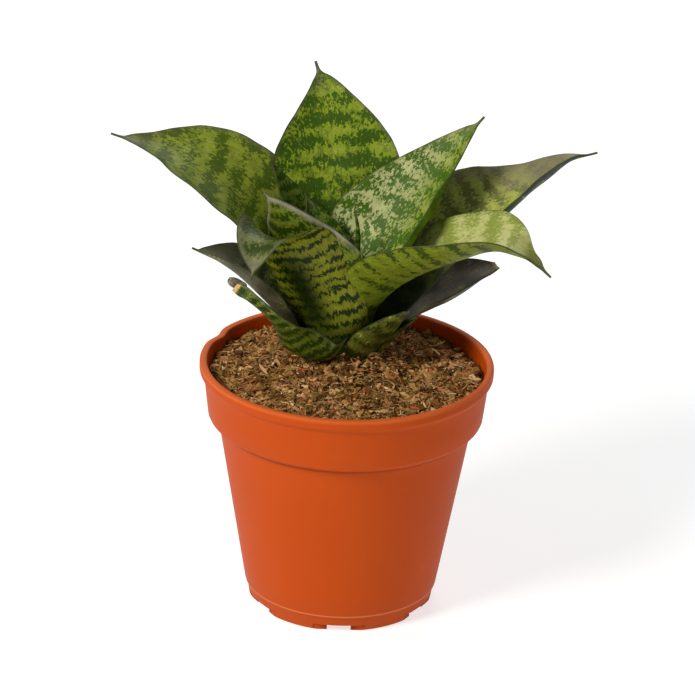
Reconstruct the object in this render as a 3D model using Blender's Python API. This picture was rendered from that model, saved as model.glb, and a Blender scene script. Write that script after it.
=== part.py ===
"""Potted bird's-nest snake plant in a plastic nursery pot.

Metres, +Z up, front of the plant towards -Y.  The pot stands on z = 0 on its own axis.
Leaf stations are written in millimetres from the crown axis and scaled by MM.
"""

import math

import bmesh
import bpy
from mathutils import Vector
from mathutils.bvhtree import BVHTree

MM = 0.001
GAP = 0.0003

# Pot
POT_SEGMENTS = 72
POT_HEIGHT = 0.0945
RIM_RADIUS = 0.0540
RIM_DEPTH = 0.0050
COLLAR_TOP_RADIUS = 0.0524
COLLAR_BOTTOM_RADIUS = 0.0506
COLLAR_BOTTOM_Z = 0.0742
SHOULDER_Z = 0.0705
BODY_TOP_RADIUS = 0.0466
BODY_BOTTOM_RADIUS = 0.0358
FOOT_LINE_Z = 0.0060
FOOT_RADIUS = 0.0344
WALL = 0.0013
FLOOR_UNDER_Z = 0.0032
FLOOR_TOP_Z = 0.0047
FOOT_INNER_RADIUS = 0.0318
NOTCHES = 6
NOTCH_WIDTH = 0.0088
NOTCH_HEIGHT = 0.0026
DRAIN_HOLES = 6
DRAIN_RADIUS = 0.0035
DRAIN_RING = 0.0215

# Potting mix
SOIL_SEGMENTS = 48
SOIL_EDGE_Z = 0.0885
SOIL_MOUND = 0.0055
CROWN_X = -0.0040
CROWN_Y = 0.0090

# Crown
CROWN_RADIUS = 0.0019
CROWN_BOTTOM_Z = 0.0860
CROWN_TOP_Z = 0.1010
BUD_RADIUS = 0.0013

# Youngest leaf, still rolled up: centre points and radius (mm)
SPIKE = [((-4, 9, 101.4), 1.3), ((-2, 9, 110), 1.6), ((0, 9, 120), 1.6), ((2.4, 9, 134), 1.3),
         ((2.4, 9, 144), 0.8), ((1, 9, 151), 0.25)]
SPIKE_SIDES = 10

# Leaves
LEAF_BOTTOM = 96.0
MIDRIB_THICK = 1.30
MARGIN_THICK = 0.45
STATIONS = 16
ACROSS = 8

BLADE = [(0.45, 0.96), (0.62, 0.90), (0.74, 0.72), (0.83, 0.46),
         (0.89, 0.27), (0.935, 0.13), (0.96, 0.035), (1.0, 0.015)]
FULL = [(0.45, 0.90), (0.62, 0.96), (0.74, 0.84), (0.83, 0.54),
        (0.89, 0.30), (0.935, 0.14), (0.96, 0.035), (1.0, 0.015)]
SPEAR = [(0.40, 1.0), (0.56, 0.88), (0.70, 0.62), (0.81, 0.38),
         (0.89, 0.20), (0.935, 0.10), (0.96, 0.035), (1.0, 0.015)]
DROOP = [(0.45, 0.97), (0.62, 0.95), (0.74, 0.82), (0.83, 0.48),
         (0.89, 0.17), (0.935, 0.10), (0.96, 0.035), (1.0, 0.015)]
LIP = [(0.35, 1.0), (0.65, 0.51), (0.88, 0.50), (1.0, 0.30)]
TORN = [(0.45, 1.0), (0.72, 0.90), (0.88, 0.58), (1.0, 0.16)]
STUB = [(0.35, 1.0), (0.65, 0.70), (0.88, 0.32), (1.0, 0.16)]

# Every leaf: heading in degrees (0 front, 90 right, 180 back, 270 left), stations of the midrib
# (reach from the crown axis, drift to the leaf's right, height), widest half width, how far the
# base wraps round the crown, cup of the left and right half at mid length and tip, roll at base,
# middle and tip, and the outline from the widest part to the tip.  Where given, base is the half
# width of the base and halves widens or narrows the left and right half.
LEAVES = {
    "leaf_front": dict(
        heading=335, radius=12.0, wrap=72, base=16.5, waist=0.6, half_width=21,
        spine=[(15, 1, 112), (20, 7, 130), (25, 12.5, 145), (36, 14, 146), (46, 13, 137)],
        cup=((50, 50), (40, 40)), roll=(0, 0, 0), outline=BLADE),
    "leaf_back": dict(
        heading=180, radius=6.2, wrap=60, waist=0.36, half_width=26.5, halves=(1.0, 1.06),
        spine=[(13, 0, 118), (24, -2, 143), (31, -4, 163), (36, -7, 182), (38, -11, 194)],
        cup=((30, 10), (25, 15)), roll=(0, 0, 0), outline=BLADE),
    "leaf_left": dict(
        heading=255, radius=8.0, wrap=54, waist=0.40, half_width=24,
        spine=[(14, 3, 118), (31, 2, 145), (52, -5, 161), (73, -10, 170), (84, -13, 174)],
        cup=((35, 30), (30, 30)), roll=(0, 16, 0), outline=FULL),
    "leaf_right_front": dict(
        heading=68.5, radius=9.0, wrap=80, base=9, waist=0.54, half_width=25.5, halves=(0.9, 1.2),
        spine=[(13, 0, 112), (32, -1.5, 131.5), (54, 0, 144), (65, 1, 148.5), (73.5, 1, 146), (82.5, 1.5, 139.5)],
        cup=((44, 80), (40, 32)), roll=(30, -7, -1), outline=DROOP),
    "leaf_right_inner": dict(
        heading=124, radius=2.8, wrap=58, waist=0.60, half_width=25,
        spine=[(7, 1, 112), (19, 2, 132), (34, 3, 151), (48, 5, 168), (57, 8, 179)],
        cup=((42, 90), (40, 50)), roll=(0, -18, -10), outline=SPEAR),
    "leaf_right_back": dict(
        heading=104.5, radius=10.5, wrap=50, waist=0.5, half_width=28, halves=(1.1, 0.64),
        spine=[(20, 2, 108), (40, 0, 129.5), (63, 3, 149.5), (85.5, -1.5, 163), (97.5, -1.5, 166)],
        cup=((36, 48), (10, 60)), roll=(-25, -10, 15), outline=BLADE),
    "leaf_left_inner": dict(
        heading=335, radius=6.2, wrap=72, waist=0.5, half_width=25,
        spine=[(9, 4, 113), (14.5, 7, 135), (22, 12, 152), (28.5, 17, 164)],
        cup=((22, 50), (40, 40)), roll=(0, 0, 0), outline=SPEAR),
    "leaf_left_low": dict(
        heading=276, radius=11.6, wrap=42, waist=0.50, half_width=19,
        spine=[(20, 0, 108), (33, 0, 123), (44, 0, 131), (54, 0, 136)],
        cup=((50, 50), (40, 40)), roll=(0, 0, 0), outline=BLADE),
    "leaf_front_left_low": dict(
        heading=344, radius=13.4, wrap=70, base=13.6, waist=0.47, half_width=10.4,
        spine=[(21, 4, 100), (25.5, 11, 110.5), (34, 24.5, 125), (34.5, 29.5, 128.5)],
        cup=((8, 18), (65, 54)), roll=(-13, 16, 30), outline=LIP),
    "leaf_front_right_low": dict(
        heading=46, radius=14.4, wrap=50, waist=0.56, half_width=13,
        spine=[(18, -2, 101), (24, -5, 110), (29, -7, 117)],
        cup=((50, 50), (50, 50)), roll=(0, 0, 0), outline=STUB),
    "leaf_back_left_inner": dict(
        heading=244, radius=4.5, wrap=52, waist=0.50, half_width=14,
        spine=[(8, 0, 112), (15, 0, 136), (23, 0, 152), (29, 0, 165)],
        cup=((40, 40), (40, 40)), roll=(0, 0, 0), outline=BLADE),
    "leaf_young": dict(
        heading=228, radius=2.8, wrap=52, waist=0.50, half_width=13,
        spine=[(4, 0, 112), (8, 0, 130), (13, 0, 143), (18, 0, 152)],
        cup=((50, 50), (50, 50)), roll=(0, 0, 0), outline=BLADE),
    "leaf_right_low": dict(
        heading=108, radius=11.6, wrap=42, waist=0.5, half_width=17,
        spine=[(22, 0, 104), (38, 0, 111.5), (52, 0, 118.5), (62, 0, 122)],
        cup=((40, 40), (30, 30)), roll=(0, 5, 0), outline=TORN),
    "leaf_scrap": dict(
        heading=75, radius=15.2, wrap=20, waist=0.50, half_width=6,
        spine=[(19, 0, 99), (24, 0, 105), (30, 0, 112)],
        cup=((40, 40), (40, 40)), roll=(0, 0, 0), outline=STUB),
    "leaf_back_low_left": dict(
        heading=205, radius=9.8, wrap=42, waist=0.50, half_width=15,
        spine=[(16, 0, 104), (28, 0, 113), (40, 0, 119)],
        cup=((45, 45), (35, 35)), roll=(0, 0, 0), outline=BLADE),
    "leaf_back_low_right": dict(
        heading=152, radius=13.4, wrap=30, waist=0.50, half_width=15,
        spine=[(19, 0, 102), (30, 0, 109), (42, 0, 114)],
        cup=((45, 45), (35, 35)), roll=(0, 0, 0), outline=BLADE),
}


COLOURS = {
    "pot": (0.62, 0.13, 0.040, 1.0),
    "soil": (0.075, 0.045, 0.018, 1.0),
    "crown": (0.22, 0.27, 0.08, 1.0),
    "leaf": (0.11, 0.19, 0.035, 1.0),
}


def clear_scene():
    for obj in list(bpy.data.objects):
        bpy.data.objects.remove(obj, do_unlink=True)


def material(name, colour, roughness):
    mat = bpy.data.materials.new(name)
    mat.use_nodes = True
    shader = mat.node_tree.nodes["Principled BSDF"]
    shader.inputs["Base Color"].default_value = colour
    shader.inputs["Roughness"].default_value = roughness
    shader.inputs["Metallic"].default_value = 0.0
    return mat


def mesh_object(name, verts, faces, colour, roughness):
    mesh = bpy.data.meshes.new(name)
    mesh.from_pydata([tuple(v) for v in verts], [], faces)
    bm = bmesh.new()
    bm.from_mesh(mesh)
    bmesh.ops.recalc_face_normals(bm, faces=bm.faces)
    if bm.calc_volume(signed=True) < 0:
        bmesh.ops.reverse_faces(bm, faces=bm.faces)
    bm.to_mesh(mesh)
    bm.free()
    mesh.shade_smooth()
    obj = bpy.data.objects.new(name, mesh)
    bpy.context.scene.collection.objects.link(obj)
    obj.data.materials.append(material(name, colour, roughness))
    return obj


def turned(name, profile, segments, colour, roughness, centre=(0.0, 0.0)):
    """Closed body of revolution; profile points are (radius, z), a radius of 0 is a pole."""
    verts = []
    rings = []
    for radius, z in profile:
        if radius == 0.0:
            rings.append([len(verts)])
            verts.append((centre[0], centre[1], z))
            continue
        ring = []
        for k in range(segments):
            angle = 2 * math.pi * (k + 0.37) / segments
            ring.append(len(verts))
            verts.append((centre[0] + radius * math.cos(angle), centre[1] + radius * math.sin(angle), z))
        rings.append(ring)
    pairs = list(zip(rings, rings[1:]))
    if profile[0][0] > 0.0:
        pairs.append((rings[-1], rings[0]))
    faces = []
    for low, high in pairs:
        for k in range(segments):
            n = (k + 1) % segments
            quad = [low[k % len(low)], low[n % len(low)], high[n % len(high)], high[k % len(high)]]
            faces.append(list(dict.fromkeys(quad)))
    return mesh_object(name, verts, faces, colour, roughness)


def cut(target, cutter):
    """Boolean difference with an exact solver; the cutter is discarded."""
    cutter.hide_render = True
    cutter.display_type = "WIRE"
    mod = target.modifiers.new("cut", "BOOLEAN")
    mod.operation = "DIFFERENCE"
    mod.solver = "EXACT"
    mod.object = cutter
    graph = bpy.context.evaluated_depsgraph_get()
    mesh = bpy.data.meshes.new_from_object(target.evaluated_get(graph))
    target.modifiers.remove(mod)
    target.data = mesh
    bpy.data.objects.remove(cutter, do_unlink=True)


def box(name, centre, size, turn):
    verts = []
    for x in (-0.5, 0.5):
        for y in (-0.5, 0.5):
            for z in (-0.5, 0.5):
                px = centre[0] + x * size[0]
                py = y * size[1]
                cx = px * math.cos(turn) - py * math.sin(turn)
                cy = px * math.sin(turn) + py * math.cos(turn)
                verts.append((cx, cy, centre[2] + z * size[2]))
    faces = [(0, 1, 3, 2), (4, 6, 7, 5), (0, 4, 5, 1), (2, 3, 7, 6), (0, 2, 6, 4), (1, 5, 7, 3)]
    return mesh_object(name, verts, faces, COLOURS["pot"], 0.5)


def pot_outside():
    return [
        (FOOT_RADIUS - 0.0006, 0.0),
        (FOOT_RADIUS, 0.0007),
        (BODY_BOTTOM_RADIUS - 0.0006, FOOT_LINE_Z - 0.0003),
        (BODY_BOTTOM_RADIUS, FOOT_LINE_Z + 0.0007),
        (BODY_TOP_RADIUS, SHOULDER_Z),
        (BODY_TOP_RADIUS + 0.0012, SHOULDER_Z + 0.0013),
        (COLLAR_BOTTOM_RADIUS - 0.0013, COLLAR_BOTTOM_Z - 0.0012),
        (COLLAR_BOTTOM_RADIUS, COLLAR_BOTTOM_Z),
        (COLLAR_TOP_RADIUS, POT_HEIGHT - RIM_DEPTH),
        (RIM_RADIUS - 0.0005, POT_HEIGHT - RIM_DEPTH + 0.0010),
        (RIM_RADIUS, POT_HEIGHT - RIM_DEPTH + 0.0022),
        (RIM_RADIUS, POT_HEIGHT - 0.0009),
        (RIM_RADIUS - 0.0008, POT_HEIGHT),
    ]


def pot_inside():
    return [
        (RIM_RADIUS - 0.0022, POT_HEIGHT),
        (RIM_RADIUS - 0.0029, POT_HEIGHT - 0.0008),
        (COLLAR_BOTTOM_RADIUS - WALL, COLLAR_BOTTOM_Z + 0.0006),
        (BODY_TOP_RADIUS - WALL, SHOULDER_Z),
        (BODY_BOTTOM_RADIUS - WALL, FLOOR_TOP_Z + 0.0015),
        (BODY_BOTTOM_RADIUS - WALL - 0.0015, FLOOR_TOP_Z),
        (0.0, FLOOR_TOP_Z),
    ]


def pot_underside():
    return [
        (0.0, FLOOR_UNDER_Z),
        (FOOT_INNER_RADIUS - 0.0005, FLOOR_UNDER_Z),
        (FOOT_INNER_RADIUS, FLOOR_UNDER_Z - 0.0005),
        (FOOT_INNER_RADIUS, 0.0),
    ]


def build_pot():
    profile = pot_underside() + pot_outside() + pot_inside()
    pot = turned("pot", profile, POT_SEGMENTS, COLOURS["pot"], 0.45)
    reach = FOOT_RADIUS + 0.004 - 0.029
    for k in range(NOTCHES):
        turn = math.radians(-90 + 360 / NOTCHES * k)
        centre = (0.029 + reach / 2, 0.0, NOTCH_HEIGHT / 2 - 0.001)
        cut(pot, box("notch", centre, (reach, NOTCH_WIDTH, NOTCH_HEIGHT + 0.002), turn))
    for k in range(DRAIN_HOLES):
        turn = math.radians(-60 + 360 / DRAIN_HOLES * k)
        centre = (DRAIN_RING * math.cos(turn), DRAIN_RING * math.sin(turn))
        profile = [(0.0, 0.001), (DRAIN_RADIUS, 0.001), (DRAIN_RADIUS, 0.008), (0.0, 0.008)]
        cut(pot, turned("drain", profile, 16, COLOURS["pot"], 0.5, centre))
    shade(pot, 30)
    return pot


def shade(obj, degrees):
    obj.data.shade_smooth()
    obj.data.set_sharp_from_angle(angle=math.radians(degrees))


def soil_height(x, y):
    """Low mound round the crown with a gentle fixed waviness."""
    away = math.hypot(x - CROWN_X, y - CROWN_Y)
    mound = SOIL_MOUND * math.exp(-((away / 0.030) ** 2))
    wave = 0.0006 * math.sin(170 * x + 0.8) * math.cos(150 * y) + 0.0004 * math.sin(310 * y + 240 * x)
    return SOIL_EDGE_Z + mound + wave * min(1.0, max(0.0, away - 0.018) / 0.01)


def inner_radius(z):
    """Radius of the pot's inner wall at a height."""
    wall = pot_inside()
    for (r1, z1), (r0, z0) in zip(wall, wall[1:]):
        if z0 <= z <= z1:
            return r0 + (r1 - r0) * (z - z0) / max(z1 - z0, 1e-9)
    return wall[0][0]


def build_soil():
    """Root ball and potting mix in one body, with a socket for the crown."""
    verts = []
    faces = []
    rings = []
    socket = CROWN_RADIUS + GAP + 0.0002
    socket_bottom = CROWN_BOTTOM_Z - GAP

    def add_ring(points):
        rings.append(list(range(len(verts), len(verts) + len(points))))
        verts.extend(points)

    angles = [2 * math.pi * k / SOIL_SEGMENTS for k in range(SOIL_SEGMENTS)]
    add_ring([(CROWN_X + socket * math.cos(a), CROWN_Y + socket * math.sin(a), socket_bottom) for a in angles])
    for part in (0.0, 0.10, 0.22, 0.36, 0.52, 0.68, 0.84, 0.95, 1.0):
        ring = []
        for a in angles:
            x0 = CROWN_X + socket * math.cos(a)
            y0 = CROWN_Y + socket * math.sin(a)
            edge = inner_radius(SOIL_EDGE_Z) - GAP - 0.0002
            x = x0 + (edge * math.cos(a) - x0) * part
            y = y0 + (edge * math.sin(a) - y0) * part
            drop = 0.0012 * max(0.0, part - 0.9) / 0.1
            ring.append((x, y, soil_height(x, y) - drop))
        add_ring(ring)
    for z in (COLLAR_BOTTOM_Z + 0.0010, SHOULDER_Z - 0.0004, FLOOR_TOP_Z + 0.0022):
        radius = inner_radius(z) - GAP - 0.0002
        add_ring([(radius * math.cos(a), radius * math.sin(a), z) for a in angles])
    radius = inner_radius(FLOOR_TOP_Z + 0.0020) - GAP - 0.0018
    add_ring([(radius * math.cos(a), radius * math.sin(a), FLOOR_TOP_Z + GAP) for a in angles])
    for low, high in zip(rings, rings[1:]):
        for k in range(SOIL_SEGMENTS):
            n = (k + 1) % SOIL_SEGMENTS
            faces.append((low[k], low[n], high[n], high[k]))
    faces.append(tuple(rings[0]))
    faces.append(tuple(reversed(rings[-1])))
    soil = mesh_object("soil", verts, faces, COLOURS["soil"], 0.95)
    shade(soil, 45)
    return soil


def build_crown():
    """Short buried stem with the rolled youngest leaf standing on it."""
    profile = [
        (0.0, CROWN_BOTTOM_Z),
        (CROWN_RADIUS, CROWN_BOTTOM_Z + 0.0004),
        (CROWN_RADIUS, CROWN_TOP_Z - 0.003),
        (BUD_RADIUS, CROWN_TOP_Z),
    ]
    crown = turned("crown", profile + [(0.0, CROWN_TOP_Z)], 16, COLOURS["crown"], 0.6, (CROWN_X, CROWN_Y))
    shade(crown, 40)
    return crown


def build_spike():
    """Rolled needle of the youngest leaf, standing on the crown."""
    verts = []
    for (x, y, z), radius in SPIKE:
        for k in range(SPIKE_SIDES):
            angle = 2 * math.pi * k / SPIKE_SIDES
            across = Vector((math.cos(angle), math.sin(angle), 0.0)) * radius
            verts.append((Vector((x, y, z)) + across) * MM)
    faces = [tuple(reversed(range(SPIKE_SIDES)))]
    for ring in range(len(SPIKE) - 1):
        for k in range(SPIKE_SIDES):
            a = ring * SPIKE_SIDES + k
            b = ring * SPIKE_SIDES + (k + 1) % SPIKE_SIDES
            faces.append((a, b, b + SPIKE_SIDES, a + SPIKE_SIDES))
    last = (len(SPIKE) - 1) * SPIKE_SIDES
    faces.append(tuple(range(last, last + SPIKE_SIDES)))
    spike = mesh_object("leaf_spike", verts, faces, COLOURS["leaf"], 0.5)
    shade(spike, 50)
    return spike


def hermite(points, values, at):
    """Smooth curve through values (numbers or vectors) given at increasing points."""
    count = len(points)
    slopes = []
    for k in range(count):
        low = max(k - 1, 0)
        high = min(k + 1, count - 1)
        slopes.append((values[high] - values[low]) / (points[high] - points[low]))
    k = 0
    while k < count - 2 and at > points[k + 1]:
        k += 1
    span = points[k + 1] - points[k]
    u = min(max((at - points[k]) / span, 0.0), 1.0)
    a = 2 * u**3 - 3 * u**2 + 1
    b = u**3 - 2 * u**2 + u
    c = 3 * u**2 - 2 * u**3
    d = u**3 - u**2
    return values[k] * a + slopes[k] * (b * span) + values[k + 1] * c + slopes[k + 1] * (d * span)


def midrib(leaf, count):
    """Points along the midrib at even arc length, in millimetres."""
    angle = math.radians(leaf["heading"])
    out = Vector((math.sin(angle), -math.cos(angle), 0.0))
    side = Vector((-math.cos(angle), -math.sin(angle), 0.0))
    origin = Vector((CROWN_X / MM, CROWN_Y / MM, 0.0))
    stations = [(leaf["radius"], 0, LEAF_BOTTOM)] + leaf["spine"]
    points = [origin + out * reach + side * drift + Vector((0, 0, z)) for reach, drift, z in stations]
    along = [0.0]
    for a, b in zip(points, points[1:]):
        along.append(along[-1] + (b - a).length)
    fine = [hermite(along, points, along[-1] * k / 400) for k in range(401)]
    length = [0.0]
    for a, b in zip(fine, fine[1:]):
        length.append(length[-1] + (b - a).length)
    result = []
    k = 0
    for n in range(count):
        target = length[-1] * n / (count - 1)
        while k < 399 and length[k + 1] < target:
            k += 1
        part = (target - length[k]) / max(length[k + 1] - length[k], 1e-9)
        result.append(fine[k].lerp(fine[k + 1], min(max(part, 0.0), 1.0)))
    return result, side


def half_width(leaf, s):
    base = leaf.get("base", leaf["radius"] * math.radians(leaf["wrap"])) / leaf["half_width"]
    outline = [(0.0, base), (0.22, 0.45 * base + leaf["waist"])] + leaf["outline"]
    return leaf["half_width"] * hermite([p[0] for p in outline], [p[1] for p in outline], s)


def blend(values, s):
    """Value at s of three numbers given at base, middle and tip."""
    if s < 0.5:
        return values[0] + (values[1] - values[0]) * s * 2
    return values[1] + (values[2] - values[1]) * (s * 2 - 1)


def frame(points, k, side, roll):
    """Tangent, sideways and upper-face directions of the blade at station k."""
    ahead = points[min(k + 1, len(points) - 1)]
    behind = points[max(k - 1, 0)]
    tangent = (ahead - behind).normalized()
    across = (side - tangent * side.dot(tangent)).normalized()
    upper = across.cross(tangent)
    turn = math.radians(roll)
    rolled = across * math.cos(turn) + upper * math.sin(turn)
    return tangent, rolled, rolled.cross(tangent)


def blade_point(leaf, point, across, upper, width, s, u):
    """Middle-surface point and its normal; u runs from -1 at the left margin to 1 at the right."""
    half = 1 if u > 0 else 0
    cup = blend((leaf["wrap"], leaf["cup"][0][half], leaf["cup"][1][half]), s)
    bend = math.radians(cup)
    radius = width / bend
    turn = bend * abs(u)
    sign = 1.0 if u > 0 else -1.0
    place = point + across * (sign * radius * math.sin(turn)) + upper * (radius * (1 - math.cos(turn)))
    normal = across * (-sign * math.sin(turn)) + upper * math.cos(turn)
    return place, normal


def thickness(s, u):
    middle = MIDRIB_THICK * (1 - 0.35 * s)
    margin = MARGIN_THICK
    return margin + (middle - margin) * (1 - u * u)


def leaf_mesh(leaf, grow):
    """Closed skin of one leaf in metres; grow adds clearance all round."""
    points, side = midrib(leaf, STATIONS)
    verts = []
    rings = []
    for k, point in enumerate(points):
        s = k / (STATIONS - 1)
        tangent, across, upper = frame(points, k, side, blend(leaf["roll"], s))
        width = half_width(leaf, s)
        shift = 0.0
        if k == 0:
            shift = -grow
        if k == STATIONS - 1:
            shift = grow
        top = []
        under = []
        for j in range(ACROSS + 1):
            u = -1 + 2 * j / ACROSS
            half = leaf["halves"][1 if u > 0 else 0] if "halves" in leaf else 1.0
            place, normal = blade_point(leaf, point, across, upper, width * half + grow, s, u)
            offset = normal * (thickness(s, u) / 2 + grow)
            top.append((place + offset + tangent * shift) * MM)
            under.append((place - offset + tangent * shift) * MM)
        ring = top + under[::-1]
        rings.append(list(range(len(verts), len(verts) + len(ring))))
        verts.extend(ring)
    faces = []
    around = len(rings[0])
    for low, high in zip(rings, rings[1:]):
        for j in range(around):
            n = (j + 1) % around
            faces.append((low[j], low[n], high[n], high[j]))
    faces.extend(end_cap(rings[0]))
    faces.extend(end_cap(rings[-1]))
    return verts, faces


def end_cap(ring):
    count = len(ring)
    strips = []
    for j in range(count // 2 - 1):
        strips.append((ring[j], ring[j + 1], ring[count - 2 - j], ring[count - 1 - j]))
    return strips


def drop_small_parts(obj):
    """Keep only the largest part of a mesh, counted across edges that join two faces."""
    bm = bmesh.new()
    bm.from_mesh(obj.data)
    left = set(bm.faces)
    parts = []
    while left:
        stack = [left.pop()]
        part = set(stack)
        while stack:
            for edge in stack.pop().edges:
                if len(edge.link_faces) != 2:
                    continue
                for face in edge.link_faces:
                    if face in left:
                        left.discard(face)
                        part.add(face)
                        stack.append(face)
        parts.append(part)
    parts.sort(key=len)
    small = [face for part in parts[:-1] for face in part]
    bmesh.ops.delete(bm, geom=small, context="FACES")
    bm.to_mesh(obj.data)
    bm.free()


def touches(name, other):
    """Whether the skins of two leaves cross once the clearance is added."""
    trees = []
    for leaf, grow in ((name, 0.0), (other, GAP / MM)):
        verts, faces = leaf_mesh(LEAVES[leaf], grow)
        trees.append(BVHTree.FromPolygons(verts, faces))
    return bool(trees[0].overlap(trees[1]))


def build_leaf(name, earlier):
    """One leaf; where it presses on an earlier leaf it gives way and keeps a small gap."""
    verts, faces = leaf_mesh(LEAVES[name], 0.0)
    obj = mesh_object(name, verts, faces, COLOURS["leaf"], 0.5)
    for other in earlier:
        if touches(name, other):
            verts, faces = leaf_mesh(LEAVES[other], GAP / MM)
            cut(obj, mesh_object("clearance", verts, faces, COLOURS["leaf"], 0.5))
    drop_small_parts(obj)
    shade(obj, 60)
    return obj


def main():
    clear_scene()
    build_pot()
    build_soil()
    build_crown()
    build_spike()
    names = list(LEAVES)
    for k, name in enumerate(names):
        build_leaf(name, names[:k])


main()
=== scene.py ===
import math
import random

import bmesh
import bpy
from mathutils import Matrix, Vector, noise


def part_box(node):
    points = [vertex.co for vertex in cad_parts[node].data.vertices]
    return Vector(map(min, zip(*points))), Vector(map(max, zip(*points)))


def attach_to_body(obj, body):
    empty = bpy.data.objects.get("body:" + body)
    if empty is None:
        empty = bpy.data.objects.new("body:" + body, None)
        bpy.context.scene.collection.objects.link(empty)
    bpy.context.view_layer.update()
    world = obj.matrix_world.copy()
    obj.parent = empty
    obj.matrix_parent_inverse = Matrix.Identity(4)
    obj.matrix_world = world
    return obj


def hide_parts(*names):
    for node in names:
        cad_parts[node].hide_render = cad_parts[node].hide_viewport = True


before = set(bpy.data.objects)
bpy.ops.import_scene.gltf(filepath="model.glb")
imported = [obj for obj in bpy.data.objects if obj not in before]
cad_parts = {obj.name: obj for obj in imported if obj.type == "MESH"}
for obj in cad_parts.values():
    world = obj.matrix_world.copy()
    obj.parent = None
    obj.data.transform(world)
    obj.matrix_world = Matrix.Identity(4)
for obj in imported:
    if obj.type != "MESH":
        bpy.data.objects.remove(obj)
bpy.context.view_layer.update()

MM = 0.001

# Where the parts stand, read from the frame
POT_LOW, POT_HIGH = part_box("pot")
SOIL_LOW, SOIL_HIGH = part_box("soil")
CROWN_LOW, CROWN_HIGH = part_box("crown")
AXIS = (POT_LOW + POT_HIGH) / 2
CROWN = (CROWN_LOW + CROWN_HIGH) / 2
RIM_Z = POT_HIGH.z
RIM_R = (POT_HIGH.x - POT_LOW.x) / 2
FOOT_Z = POT_LOW.z

# ---------------- leaf shapes
# Millimetres, as the lists below
LEAF_BOTTOM = 96.0
MIDRIB_THICK = 1.30
MARGIN_THICK = 0.45
DENT_HEIGHT = 0.9
RIPPLE_HEIGHT = 1.1

# Points of a blade's mesh along and across, and how closely they crowd towards the margins
STATIONS = 110
ACROSS = 44
CROWDING = math.pi / 2 * 0.92
CURVE_STEPS = 400

# Outlines: part of the blade's length, and half width there as a part of the leaf's half_width
BLADE = [(0.45, 0.96), (0.62, 0.90), (0.74, 0.72), (0.83, 0.46),
         (0.89, 0.27), (0.935, 0.13), (0.96, 0.035), (1.0, 0.015)]
FULL = [(0.45, 0.90), (0.62, 0.96), (0.74, 0.84), (0.83, 0.54),
        (0.89, 0.30), (0.935, 0.14), (0.96, 0.035), (1.0, 0.015)]
SPEAR = [(0.40, 1.0), (0.56, 0.88), (0.70, 0.62), (0.81, 0.38),
         (0.89, 0.20), (0.935, 0.10), (0.96, 0.035), (1.0, 0.015)]
DROOP = [(0.45, 0.97), (0.62, 0.95), (0.74, 0.82), (0.83, 0.48),
         (0.89, 0.17), (0.935, 0.10), (0.96, 0.035), (1.0, 0.015)]
LIP = [(0.35, 1.0), (0.65, 0.51), (0.88, 0.50), (1.0, 0.30)]
TORN = [(0.45, 1.0), (0.72, 0.90), (0.88, 0.58), (1.0, 0.16)]
STUB = [(0.35, 1.0), (0.65, 0.70), (0.88, 0.32), (1.0, 0.16)]


def shape(**changes):
    return {"waist": 0.5, "halves": (1.0, 1.0), "roll": (0, 0, 0), "outline": BLADE, **changes}


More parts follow.
